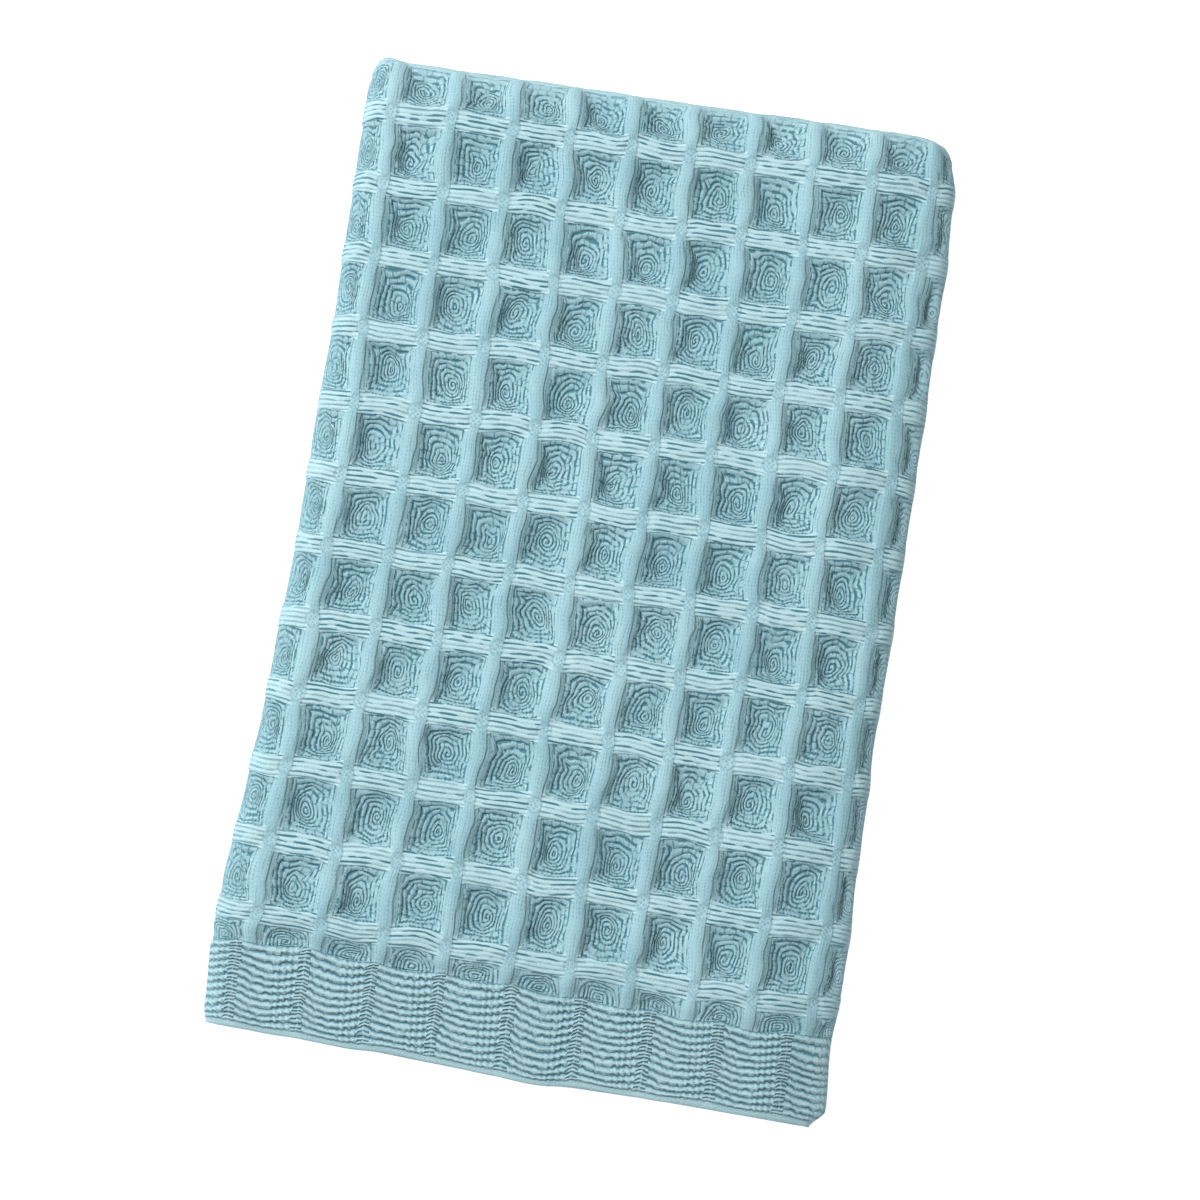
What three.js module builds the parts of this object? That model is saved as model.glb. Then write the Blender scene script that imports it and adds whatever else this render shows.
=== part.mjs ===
// Waffle washcloth, folded in thirds across and then in half along, lying flat.
// Millimetres. X runs across the folded cloth, Y from the hems to the top fold, Z is up.
// The origin is the middle of the footprint, on the surface that the cloth rests on.

import * as THREE from 'three';

// Weave, measured from ridge to ridge
const CELL_WIDE = 10.0;
const CELL_LONG = 12.2;
const FULL_COLUMNS = 9;
const FULL_ROWS = 11;
const COLUMN_RIDGE_WIDE = 2.5;
const ROW_RIDGE_WIDE = 3.0;
const PIT_DEPTH = 2.1;
const PART_PIT_DEPTH = 1.2;
const PIT_LOST_ON_ROLL = 0.65;

// Layers, as thick as they lie in the fold
const FACE_THICK = 3.0;
const INNER_THICK = 2.0;
const LAYER_GAP = 0.4;
const MIDDLE_GAP = 0.6;

// Plain woven hem at each end of the cloth
const PART_ROW = 4.9;
const HEM_TALL = 14.1;
const UPPER_HEM_SUNK = 0.8;
const HEM_FLATTENED = 0.22;
const HEM_TAPER = 26.0;

// Folded outline before it is made uneven
const LEFT_FOLD_X = -47.0;
const RIGHT_FOLD_X = 46.6;
const TUCKED_EDGE_X = -45.5;
const UNDER_EDGE_X = 47.0;
const FIRST_ROW_PAST_FOLD = 15.0;

// Depths below the outer face of a pack of three layers
const TUCKED_TOP = FACE_THICK + LAYER_GAP;
const TUCKED_BASE = TUCKED_TOP + INNER_THICK;
const UNDER_TOP = TUCKED_BASE + LAYER_GAP;
const UNDER_BASE = UNDER_TOP + INNER_THICK;
const HALF_THICK = UNDER_BASE + MIDDLE_GAP / 2;

// Lengths along the cloth from the crease of the top fold
const BEND = HALF_THICK * Math.PI / 2;
const HEM_START = FIRST_ROW_PAST_FOLD + FULL_ROWS * CELL_LONG + PART_ROW;
const CLOTH_END = HEM_START + HEM_TALL;
const FOLD_CENTRE_Y = (CLOTH_END - BEND - HALF_THICK) / 2;
const ARC_STEPS = 8;
const PLAIN_STEP = 24.0;
const PLAIN_STOPS = [-24, 0, 24];

// How far each place across is pushed sideways, down the length of the cloth
const STATIONS = { leftEdge: -50.9, leftRidge: -45, middle: 0, rightRidge: 45, rightEdge: 49.3 };
const SIDEWAYS = [
  { y: 82, leftEdge: 0.2, leftRidge: -0.4, middle: -1.1, rightRidge: -0.9, rightEdge: -2.0, under: -0.9 },
  { y: 71, leftEdge: 0.1, leftRidge: -0.4, middle: -1.1, rightRidge: -0.8, rightEdge: -1.3, under: -0.7 },
  { y: 59, leftEdge: 0.3, leftRidge: 0.0, middle: -0.5, rightRidge: -0.8, rightEdge: -0.6, under: -0.9 },
  { y: 47, leftEdge: 0.4, leftRidge: 0.5, middle: 0.0, rightRidge: -0.9, rightEdge: -0.5, under: -0.9 },
  { y: 35, leftEdge: 0.6, leftRidge: 0.7, middle: 0.1, rightRidge: -1.1, rightEdge: -0.4, under: -0.9 },
  { y: 23, leftEdge: 0.3, leftRidge: 1.1, middle: 0.3, rightRidge: -0.7, rightEdge: -0.5, under: -0.3 },
  { y: 9, leftEdge: 0.3, leftRidge: 1.1, middle: 0.4, rightRidge: -0.7, rightEdge: -0.6, under: 0.1 },
  { y: -3, leftEdge: 0.3, leftRidge: 0.6, middle: 0.3, rightRidge: -0.5, rightEdge: -0.7, under: -0.8 },
  { y: -20, leftEdge: -0.4, leftRidge: 0.1, middle: 0.2, rightRidge: -0.5, rightEdge: -1.1, under: -1.3 },
  { y: -31, leftEdge: -0.6, leftRidge: -0.2, middle: 0.1, rightRidge: -0.5, rightEdge: -0.8, under: -0.1 },
  { y: -40, leftEdge: -1.2, leftRidge: -0.5, middle: 0.0, rightRidge: -0.6, rightEdge: -0.9, under: -0.6 },
  { y: -50, leftEdge: -1.9, leftRidge: -0.8, middle: -0.1, rightRidge: -0.7, rightEdge: -0.5, under: 0.6 },
  { y: -58, leftEdge: -2.5, leftRidge: -1.0, middle: 0.0, rightRidge: -0.8, rightEdge: -0.5, under: -0.1 },
  { y: -68, leftEdge: -3.0, leftRidge: -1.2, middle: 0.0, rightRidge: -0.8, rightEdge: -0.9, under: -1.2 },
  { y: -79, leftEdge: -2.5, leftRidge: -1.2, middle: 0.0, rightRidge: -0.6, rightEdge: -0.1, under: -0.7 },
  { y: -82, leftEdge: -1.9, leftRidge: -1.1, middle: 0.0, rightRidge: -1.0, rightEdge: -2.4, under: -2.6 },
];

// How the rows lean across the cloth, and how its height rolls
const LEAN_TOP = 0.5;
const LEAN_HEM = -0.9;
const LEAN_REACH = 45.0;
const CORNER_PULL = 2.6;
const CORNER_DROP = 1.6;
const CORNER_REACH = 9.0;
const SWELL = 0.025;
const SWELL_ACROSS = 34.0;
const SWELL_ALONG = 23.0;
const MIDDLE_X = -2.2;
const MIDDLE_Y = 0.0;

function blend(from, to, share) {
  return from + (to - from) * share;
}

function ease(share) {
  const held = Math.min(Math.max(share, 0), 1);
  return held * held * (3 - 2 * held);
}

function pushedSideways(y, column) {
  const last = SIDEWAYS.length - 1;
  if (y >= SIDEWAYS[0].y) return SIDEWAYS[0][column];
  if (y <= SIDEWAYS[last].y) return SIDEWAYS[last][column];
  const next = SIDEWAYS.findIndex((row) => row.y < y);
  const above = SIDEWAYS[next - 1];
  const below = SIDEWAYS[next];
  return blend(above[column], below[column], ease((above.y - y) / (above.y - below.y)));
}

// The lower pack has its own right edge, which shows past the upper one in places
function sideways(x, y, upper) {
  const edge = blend(pushedSideways(y, 'under'), pushedSideways(y, 'rightEdge'), upper);
  const points = [
    [STATIONS.leftEdge, pushedSideways(y, 'leftEdge')],
    [STATIONS.leftRidge, pushedSideways(y, 'leftRidge')],
    [STATIONS.middle, pushedSideways(y, 'middle')],
    [STATIONS.rightRidge, pushedSideways(y, 'rightRidge')],
    [STATIONS.rightEdge, edge],
  ];
  if (x <= points[0][0]) return points[0][1];
  for (let i = 1; i < points.length; i += 1) {
    const [start, from] = points[i - 1];
    const [end, to] = points[i];
    if (x <= end) return blend(from, to, (x - start) / (end - start));
  }
  return edge;
}

function lengthways(x, y) {
  const top = FOLD_CENTRE_Y + HALF_THICK;
  const lean = (x / LEAN_REACH) * blend(LEAN_HEM, LEAN_TOP, (y + top) / (2 * top));
  const nearTop = ease(1 - (top - y) / CORNER_REACH);
  const nearLeft = ease((LEFT_FOLD_X + CORNER_REACH / 2 - x) / CORNER_REACH);
  const nearRight = ease((x - RIGHT_FOLD_X + CORNER_REACH / 2) / CORNER_REACH);
  return lean + nearTop * (CORNER_PULL * nearLeft - CORNER_DROP * nearRight);
}

// Share of the full height, flatter over the hems and slightly rolling elsewhere
function heightShare(x, y) {
  const hemEnd = FOLD_CENTRE_Y + BEND - CLOTH_END;
  const hem = ease(1 - (y - hemEnd) / HEM_TAPER);
  const roll = Math.sin(x / SWELL_ACROSS + 0.6) * Math.cos(y / SWELL_ALONG);
  return 1 - HEM_FLATTENED * hem + SWELL * roll;
}

// A place in the folded pack, bent over the top fold and then made uneven
function folded(x, depth, along) {
  const radius = HALF_THICK - depth;
  let y = FOLD_CENTRE_Y + BEND - Math.abs(along);
  let z = HALF_THICK + radius * Math.sign(along);
  if (Math.abs(along) < BEND) {
    y = FOLD_CENTRE_Y + radius * Math.cos(along / HALF_THICK);
    z = HALF_THICK + radius * Math.sin(along / HALF_THICK);
  }
  const upper = ease((along + BEND) / (2 * BEND));
  const movedX = x + sideways(x, y, upper) - MIDDLE_X;
  const movedY = y + lengthways(x, y) - MIDDLE_Y;
  return [movedX, movedY, z * heightShare(x, y)];
}

// Sunk four-sided pits between flat ridges, measured on the outer face, shallower round the side folds
function sunk(across, along, turn) {
  if (Math.abs(along) >= HEM_START) return along > 0 ? UPPER_HEM_SUNK : 0;
  const column = (across - STATIONS.leftRidge) / CELL_WIDE;
  const row = (along - FIRST_ROW_PAST_FOLD) / CELL_LONG;
  const fromColumn = Math.abs(column - Math.round(column)) * CELL_WIDE - COLUMN_RIDGE_WIDE / 2;
  const fromRow = Math.abs(row - Math.round(row)) * CELL_LONG - ROW_RIDGE_WIDE / 2;
  const slopeAcross = fromColumn / ((CELL_WIDE - COLUMN_RIDGE_WIDE) / 2);
  const slopeAlong = fromRow / ((CELL_LONG - ROW_RIDGE_WIDE) / 2);
  const toHem = (HEM_START - Math.abs(along)) * PART_PIT_DEPTH / (PART_ROW / 2);
  const deep = Math.max(0, Math.min(PIT_DEPTH * slopeAcross, PIT_DEPTH * slopeAlong, toHem));
  return deep * (1 - PIT_LOST_ON_ROLL * Math.sin(turn) ** 2);
}

// Rows of points along the cloth: a few on plain faces, and each ridge and pit on woven ones
function plainRows() {
  const rows = [];
  for (let step = 0; step < ARC_STEPS; step += 1) rows.push(BEND * (2 * step / ARC_STEPS - 1));
  const spans = Math.round((HEM_START - BEND) / PLAIN_STEP);
  for (let i = 0; i <= spans; i += 1) {
    const along = blend(BEND, HEM_START, i / spans);
    rows.push(along);
    if (i > 0) rows.push(-along);
  }
  rows.push(CLOTH_END, -CLOTH_END);
  return rows.sort((a, b) => a - b);
}

function wovenRows() {
  const rows = [];
  const firstRidge = FIRST_ROW_PAST_FOLD + FULL_ROWS * CELL_LONG;
  for (let ridge = firstRidge; ridge > -HEM_START + ROW_RIDGE_WIDE; ridge -= CELL_LONG) {
    const edge = ridge + ROW_RIDGE_WIDE / 2;
    const pit = Math.min(ridge + CELL_LONG / 2, (edge + HEM_START) / 2);
    rows.push(ridge - ROW_RIDGE_WIDE / 2, edge, pit);
    const slope = (pit - edge) / 2;
    if (Math.abs(ridge) < BEND) rows.push(edge + slope, pit + slope);
  }
  const lowestRidge = Math.min(...rows);
  const hemMiddle = (HEM_START + CLOTH_END) / 2;
  rows.push((lowestRidge - HEM_START) / 2);
  for (const along of [HEM_START, hemMiddle, CLOTH_END]) rows.push(along, -along);
  return rows.sort((a, b) => a - b);
}

// Columns of points round the section of one pack. A column's place counts the stretches of the
// sheet: 0 to 1 the tucked panel, to 2 the right fold, to 3 the face, to 4 the left fold, to 5 the
// panel underneath.
function facePoint(across) {
  const leftArc = UNDER_BASE / 2;
  const rightArc = TUCKED_BASE / 2;
  if (across < LEFT_FOLD_X) {
    const turn = (LEFT_FOLD_X - across) / leftArc;
    const x = LEFT_FOLD_X - leftArc * Math.sin(turn);
    return { x, depth: leftArc * (1 - Math.cos(turn)), turn: -turn, place: 3 + turn / Math.PI };
  }
  if (across > RIGHT_FOLD_X) {
    const turn = (across - RIGHT_FOLD_X) / rightArc;
    const x = RIGHT_FOLD_X + rightArc * Math.sin(turn);
    return { x, depth: rightArc * (1 - Math.cos(turn)), turn, place: 2 - turn / Math.PI };
  }
  const share = (RIGHT_FOLD_X - across) / (RIGHT_FOLD_X - LEFT_FOLD_X);
  return { x: across, depth: 0, turn: 0, place: 2 + share };
}

function wovenColumns() {
  const places = [];
  for (let ridge = -1; ridge <= FULL_COLUMNS + 1; ridge += 1) {
    const middle = STATIONS.leftRidge + ridge * CELL_WIDE;
    places.push(middle - COLUMN_RIDGE_WIDE / 2);
    if (ridge <= FULL_COLUMNS) places.push(middle + COLUMN_RIDGE_WIDE / 2, middle + CELL_WIDE / 2);
  }
  const firstPit = STATIONS.leftRidge - CELL_WIDE / 2;
  const lastPit = STATIONS.leftRidge + (FULL_COLUMNS + 0.5) * CELL_WIDE;
  const slope = CELL_WIDE / 5;
  places.push(firstPit - slope, firstPit + slope, lastPit - slope, lastPit + slope);
  places.sort((a, b) => b - a);
  return places.map((across) => ({ ...facePoint(across), across, woven: true }));
}

function plainColumns(from, to, depth, stretch) {
  const low = Math.min(from, to);
  const high = Math.max(from, to);
  const stops = [low, ...PLAIN_STOPS.filter((x) => x > low && x < high), high];
  if (from > to) stops.reverse();
  const [start, end] = stretch;
  return stops.map((x) => ({ x, depth, place: blend(start, end, (x - from) / (to - from)), woven: false }));
}

function insideArc(centreX, top, base, side, stretch) {
  const radius = (base - top) / 2;
  const [start, end] = stretch;
  return [0.25, 0.5, 0.75].map((share) => ({
    x: centreX + side * radius * Math.sin(share * Math.PI),
    depth: top + radius * (1 - Math.cos(share * Math.PI)),
    place: blend(start, end, share),
    woven: false,
  }));
}

function sectionColumns() {
  const outside = [
    ...plainColumns(TUCKED_EDGE_X, RIGHT_FOLD_X, TUCKED_BASE, [0, 1]),
    ...wovenColumns(),
    ...plainColumns(LEFT_FOLD_X, UNDER_EDGE_X, UNDER_BASE, [4, 5]),
  ];
  const inside = [
    ...plainColumns(UNDER_EDGE_X, LEFT_FOLD_X, UNDER_TOP, [5, 4]),
    ...insideArc(LEFT_FOLD_X, FACE_THICK, UNDER_TOP, -1, [3, 4]).reverse(),
    ...plainColumns(LEFT_FOLD_X, RIGHT_FOLD_X, FACE_THICK, [3, 2]),
    ...insideArc(RIGHT_FOLD_X, FACE_THICK, TUCKED_TOP, 1, [2, 1]),
    ...plainColumns(RIGHT_FOLD_X, TUCKED_EDGE_X, TUCKED_TOP, [1, 0]),
  ];
  return { outside, inside };
}

// Joins two lines of points whose members differ in number, by how far each has come
function zip(lineA, lineB, addTriangle) {
  let a = 0;
  let b = 0;
  while (a < lineA.length - 1 || b < lineB.length - 1) {
    const nextA = a < lineA.length - 1 ? lineA[a + 1].place : Infinity;
    const nextB = b < lineB.length - 1 ? lineB[b + 1].place : Infinity;
    let stepA = nextA < nextB;
    if (nextA === nextB) {
      const alongA = Math.max(lineA[a + 1].low, lineB[b].low);
      const alongB = Math.max(lineA[a].low, lineB[b + 1].low);
      stepA = alongA > alongB;
    }
    if (stepA) {
      addTriangle(lineA[a].index, lineB[b].index, lineA[a + 1].index);
      a += 1;
    } else {
      addTriangle(lineA[a].index, lineB[b].index, lineB[b + 1].index);
      b += 1;
    }
  }
}

function clothGeometry() {
  const positions = [];
  const triangles = [];
  const rows = { woven: wovenRows(), plain: plainRows() };

  function columnOfPoints(column) {
    return (column.woven ? rows.woven : rows.plain).map((along) => {
      const low = column.woven ? sunk(column.across, along, column.turn) : 0;
      const x = column.woven ? column.x - low * Math.sin(column.turn) : column.x;
      const depth = column.woven ? column.depth + low * Math.cos(column.turn) : column.depth;
      positions.push(...folded(x, depth, along));
      return { index: positions.length / 3 - 1, place: along, low };
    });
  }

  const { outside, inside } = sectionColumns();
  const columns = [...outside, ...inside];
  const lines = columns.map(columnOfPoints);
  const addTriangle = (i, j, k) => triangles.push(i, j, k);
  lines.forEach((line, i) => zip(line, lines[(i + 1) % lines.length], addTriangle));

  // The two hem ends close the sheet between its outer and inner faces
  const endPoint = (i, row) => ({ index: lines[i].at(row).index, place: columns[i].place, low: 0 });
  const ends = [0, -1].map((row) => columns.map((_, i) => endPoint(i, row)));
  const outer = ends.map((points) => points.slice(0, outside.length));
  const inner = ends.map((points) => points.slice(outside.length).reverse());
  zip(outer[0], inner[0], addTriangle);
  zip(inner[1], outer[1], addTriangle);

  const geometry = new THREE.BufferGeometry();
  geometry.setAttribute('position', new THREE.Float32BufferAttribute(positions, 3));
  geometry.setIndex(triangles);
  return geometry;
}

const clothMaterial = new THREE.MeshStandardMaterial({ color: 0x9ccbd4, roughness: 0.95, metalness: 0 });

const cloth = new THREE.Mesh(clothGeometry(), clothMaterial);
cloth.name = 'cloth';

const washcloth = new THREE.Group();
washcloth.add(cloth);

export default washcloth;
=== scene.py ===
import math

import bmesh
import bpy
import numpy as np
from bpy.props import FloatProperty, FloatVectorProperty, PointerProperty
from mathutils import Matrix, Vector


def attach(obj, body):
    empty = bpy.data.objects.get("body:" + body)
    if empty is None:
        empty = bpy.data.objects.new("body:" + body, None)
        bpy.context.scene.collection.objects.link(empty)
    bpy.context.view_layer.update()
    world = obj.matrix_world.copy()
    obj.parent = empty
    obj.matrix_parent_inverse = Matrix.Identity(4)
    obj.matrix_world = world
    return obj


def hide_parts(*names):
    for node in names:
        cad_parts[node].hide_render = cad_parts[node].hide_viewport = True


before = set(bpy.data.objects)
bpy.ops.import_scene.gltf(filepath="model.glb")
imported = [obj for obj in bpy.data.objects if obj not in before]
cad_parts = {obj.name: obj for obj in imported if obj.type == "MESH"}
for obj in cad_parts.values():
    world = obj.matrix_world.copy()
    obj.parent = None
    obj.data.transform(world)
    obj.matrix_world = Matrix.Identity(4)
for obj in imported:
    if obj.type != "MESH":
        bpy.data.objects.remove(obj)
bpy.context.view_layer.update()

bl_info = {
    "name": "Waffle washcloth",
    "version": (1, 0, 0),
    "blender": (4, 5, 0),
    "location": "3D View > Sidebar > Washcloth",
    "description": "Weaves, folds and dyes a waffle washcloth, and sets its studio",
    "category": "Mesh",
}

# The cloth is worked out in millimetres and made in metres
MM = 0.001

# Places nearer than the first are one place, and the second keeps a divisor above 0
SAME = 0.001
TINY = 1e-6

# Weave, from the middle of a ridge to the middle of the next
CELL_WIDE = 10.0
CELL_LONG = 12.2
FIRST_COLUMN = -45.0
FIRST_ROW = 15.0
COLUMNS = 11
FULL_ROWS = 11
HALF_COLUMN_RIDGE = 1.25
HALF_ROW_RIDGE = 1.5
WOVEN_LEFT = FIRST_COLUMN - CELL_WIDE
WOVEN_RIGHT = WOVEN_LEFT + COLUMNS * CELL_WIDE

# Rows from the fine one up have the finer meshes, and the lower hem cuts the lowest one
FINE_ROW = -2
LOWEST_ROW = -14
FINE_START = FIRST_ROW + FINE_ROW * CELL_LONG

# Layers of the fold
FACE_THICK = 3.0
TUCKED_TOP = 3.4
TUCKED_BASE = 5.4
UNDER_TOP = 5.8
UNDER_BASE = 7.8
HALF_THICK = 8.1
BEND = HALF_THICK * math.pi / 2

# Hem at each end of the cloth
PART_ROW = 4.9
HEM_START = FIRST_ROW + FULL_ROWS * CELL_LONG + PART_ROW
HEM_TALL = 14.1
CLOTH_END = HEM_START + HEM_TALL
UPPER_HEM_SUNK = 0.8
HEM_SINKS_OVER = 2.2
HEM_FLATTENED = 0.22
HEM_TAPER = 26.0

# Folded outline
LEFT_FOLD_X = -47.0
RIGHT_FOLD_X = 46.6
TUCKED_EDGE_X = -45.5
UNDER_EDGE_X = 47.0
LEFT_ROLL = UNDER_BASE / 2
RIGHT_ROLL = TUCKED_BASE / 2
LEFT_ROLL_END = LEFT_FOLD_X - math.pi * LEFT_ROLL
RIGHT_ROLL_END = RIGHT_FOLD_X + math.pi * RIGHT_ROLL
UNDER_EDGE = LEFT_ROLL_END - (UNDER_EDGE_X - LEFT_FOLD_X)
TUCKED_EDGE = RIGHT_ROLL_END + (RIGHT_FOLD_X - TUCKED_EDGE_X)
FOLD_CENTRE_Y = (CLOTH_END - BEND - HALF_THICK) / 2

# How far each place across is pushed sideways, down the length of the cloth
STATIONS = (-50.9, -45.0, 0.0, 45.0, 49.3)
SIDEWAYS_COLUMNS = ("y", "left_edge", "left_ridge", "middle", "right_ridge", "right_edge", "under")
SIDEWAYS = (
    (82, 0.7, -0.4, -1.1, -0.9, -2.6, -0.9),
    (71, 0.6, -0.4, -1.1, -0.8, -0.8, -0.7),
    (59, 0.8, 0.0, -0.5, -0.8, -0.3, -0.9),
    (47, 0.9, 0.5, 0.0, -0.9, -0.5, -0.9),
    (35, 1.1, 0.7, 0.1, -1.1, -0.4, -0.9),
    (23, 0.8, 1.1, 0.3, -0.7, -0.5, -0.3),
    (9, 0.8, 1.1, 0.4, -0.7, -0.6, 0.1),
    (-3, 0.8, 0.6, 0.3, -0.5, -0.7, -0.8),
    (-20, 0.1, 0.1, 0.2, -0.5, -1.1, -1.3),
    (-31, -0.1, -0.2, 0.1, -0.5, -0.8, -0.1),
    (-40, -0.7, -0.5, 0.0, -0.6, -0.9, -0.6),
    (-50, -1.4, -0.8, -0.1, -0.7, -0.5, 0.6),
    (-58, -2.0, -1.0, 0.0, -0.8, -0.5, -0.1),
    (-68, -2.5, -1.2, 0.0, -0.8, -0.9, -1.2),
    (-79, -2.0, -1.2, 0.0, -0.6, -0.1, -0.7),
    (-82, -1.4, -1.1, 0.0, -1.0, -2.4, -2.6),
)

# How the rows lean across the cloth, and how its height rolls
LEAN_TOP = 0.5
LEAN_HEM = -0.9
LEAN_REACH = 45.0
DRAWN_IN = 0.006
HEM_DROOP = 0.7
HEM_DROOP_REACH = 15.0
CORNER_PULL = 0.9
CORNER_DROP = 1.6
CORNER_REACH = 8.0
RIGHT_SLOPE = 0.14
RIGHT_SLOPE_X = 37.0
RIGHT_SLOPE_WIDE = 14.0
SWELL = 0.025
SWELL_ACROSS = 34.0
SWELL_ALONG = 23.0
SWELL_START = 0.6
MIDDLE_X = -2.2

# Rows of cells and the lines that their meshes have: places in a cell, and steps between them
ACROSS_STOPS = (0.0, HALF_COLUMN_RIDGE, CELL_WIDE - HALF_COLUMN_RIDGE, CELL_WIDE)
ACROSS_STEPS = (3, 6, 3)
PIT_START = HALF_ROW_RIDGE
PIT_END = CELL_LONG - HALF_ROW_RIDGE
HEART = CELL_LONG / 2 + 0.5
PART_HEART = 4.1
PART_PIT_END = 6.2
LOWEST_ROW_CUT = (-HEM_START - FIRST_ROW) % CELL_LONG
ROW_KINDS = {
    "upper": {"start": FINE_ROW, "rows": FULL_ROWS - FINE_ROW,
              "stops": (0.0, PIT_START, PIT_END, CELL_LONG), "steps": (4, 7, 4),
              "pit": 1, "heart": HEART, "loops": 13},
    "lower": {"start": LOWEST_ROW + 1, "rows": FINE_ROW - LOWEST_ROW - 1,
              "stops": (0.0, PIT_START, PIT_END, CELL_LONG), "steps": (2, 4, 2),
              "pit": 1, "heart": HEART, "loops": 3},
    "upper_part": {"start": FULL_ROWS, "rows": 1,
                   "stops": (0.0, PIT_START, PART_ROW), "steps": (4, 4),
                   "pit": 1, "heart": PART_HEART, "loops": 11},
    "lower_part": {"start": LOWEST_ROW, "rows": 1,
                   "stops": (LOWEST_ROW_CUT, PIT_END, CELL_LONG), "steps": (4, 2),
                   "pit": 0, "heart": HEART, "loops": 4},
}
LEFT_FLAP_STOP = -130.0
LEFT_FLAP_STEPS = (1, 3, 2)
RIGHT_FLAP_STOP = 128.0
RIGHT_FLAP_STEPS = (3, 1)
BEND_MARGIN = 1.0

# Pits: rings of yarn, round inside and square outside, round a heart that is off centre
PIT_RINGS = 6.5
PART_RINGS = 6.0
FIRST_RING = 0.28
RINGS_WANDER_FROM = 0.2
RINGS_ROUND_FROM = 0.02
PART_ROUND_FROM = -0.3
RINGS_ROUND_OVER = 0.625
RINGS_ROUNDED = 0.8
ROUND_SIZE = 1.06
HEART_OFF = 0.9
PART_HEART_OFF = 0.3
HEART_OFF_OVER = 1 / 1.2
PIT_SIDES = 2.2
PART_DEPTH = 0.65
PART_DEPTH_AT_HEM = 0.3
PART_SHALLOW_FROM = 3.0
MOST_SPIRALS = 1.25
FORK_NEAREST = 0.35
FORK_SPREAD = 0.3

# Ridges: how far they swell, round the corners of the pits and stand over the ground
SPINDLE = 0.3
CORNERS_ROUNDED = 0.45
COLUMN_LIFT = 0.5
ROW_LIFT = 0.3
CROSSING_FLATTENED = 0.6
KNOT_SUNK = 0.12
GROUND_SUNK = 0.2
FLOAT_FROM = 0.5
FLOAT_GROWS_OVER = 1.2
FLOATS_FULL = 0.3

# Unevenness, as sets of hills: how high they are, their size and the seed of their heights
WANDER_ACROSS = ((0.42, (9.0, 5.0), 7), (0.2, 3.1, 8))
WANDER_ALONG = ((0.34, (5.5, 9.0), 9), (0.16, 3.1, 10))
PIT_WANDER_ACROSS = ((0.24, 1.9, 5),)
PIT_WANDER_ALONG = ((0.24, 1.9, 6),)
RING_WANDER = ((0.5, 1.7, 34),)
CREST_CHANGES = ((0.5, 1.3, 11),)
FLOAT_CHANGES = ((0.6, (5.0, 0.7), 12),)
KNOT_CHANGES = ((0.1, 3.0 / 7, 13),)
GROUND_ROLLS = ((0.16, 6.0, 14),)
SAG_WANDER = ((0.3, (6.0, 4.0), 21),)
RIB_CHANGES = ((0.5, (3.0, 0.9), 22),)
JOIN_WANDER = ((0.8, (7.5, 9.0), 23),)
HEM_EDGE_WANDER = ((0.45, (6.0, 9.0), 24),)
TONE_PATCHES = ((0.6, (9.0, 11.0), 41), (0.4, 3.5, 42))
HILL_GRID = (97, 89)
HILL_START = 40.5
CELL_GRID = (31, 37)
STEADY_BY_HEM = 3.0
STEADY_SIDES = 58.0
STEADY_BY_SIDES = 4.0

# Ribs of the hem
RIBS = 11
PLAIN_EDGE = 0.9
RIBS_END = HEM_TALL - PLAIN_EDGE
RIB_PITCH = RIBS_END / RIBS
RIB_SIDE = 0.3
RIB_STEPS = (0.0, RIB_SIDE, 0.75)
RIB_MEAN = 0.75
EDGE_LINE = 0.35
LOWER_HEM_STEPS = (9, 2)
SAG_PITCH = 11.4
SAG_START = -3.9
SAG_CLOSER = 0.073
SAG_CLOSER_X = -15.0
SAG_LEFT = 1.4
SAG_RIGHT = 1.1
SAG_AT_JOIN = 0.6
SAG_GROWS_OVER = 3.0
SAG_FADES_FROM = 10.5
SAG_AT_EDGE = 0.1
RIBS_FADE_OVER = 1.0
EDGE_ROUNDED = 1.0
EDGE_DROP = 0.55

# How much of the relief is lost where the cloth is stretched over a fold
LOST_ON_LEFT_ROLL = 0.65
LOST_ON_RIGHT_ROLL = 0.9
LOST_ON_TOP_FOLD = 0.6
RIBS_LOST_ON_ROLL = 0.9
TOP_EDGE = 1.5
TOP_SMOOTHED = 5.0
TOP_FADES_OVER = 3.0

# How far the gaps between the yarns close there, and within what turn round a side fold, in radians
GAPS_CLOSED_LEFT = 0.28
GAPS_CLOSED_RIGHT = 0.5
GAPS_CLOSED_TOP = 0.6
GAPS_CLOSED_HEM = 0.1
GAPS_CLOSED_BY = 1.1

# Painted light and shade, as tone from -1 for the shade colour to 1 for the pale yarn: over the folds, and
# beside the right one
PAINTED_ROLL_SHADE_AND_LIGHT = 0.9
PAINTED_ROLL_SHADE_AND_LIGHT_BY = 0.9
PAINTED_TOP_LIGHT = 1.2
PAINTED_RIGHT_SHADE = 0.7
PAINTED_RIGHT_SHADE_X = 43.0
PAINTED_RIGHT_SHADE_REACH = 6.0

# Map for baking, laid out in millimetres on a square: the upper and lower woven halves lie side by side,
# and the inner face and the flaps, which are hidden, lie shrunk above them
BAKE_SPAN = 250.0
UPPER_HALF_AT = (60.0, 12.0)
LOWER_HALF_AT = (185.0, 2.0)
HIDDEN_X = 10.0
HIDDEN_LEFT = 160.0
INNER_FACE_Y = 190.0
FLAPS_Y = 220.0
HIDDEN_WIDE = 0.7
HIDDEN_LONG = 0.08

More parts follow.
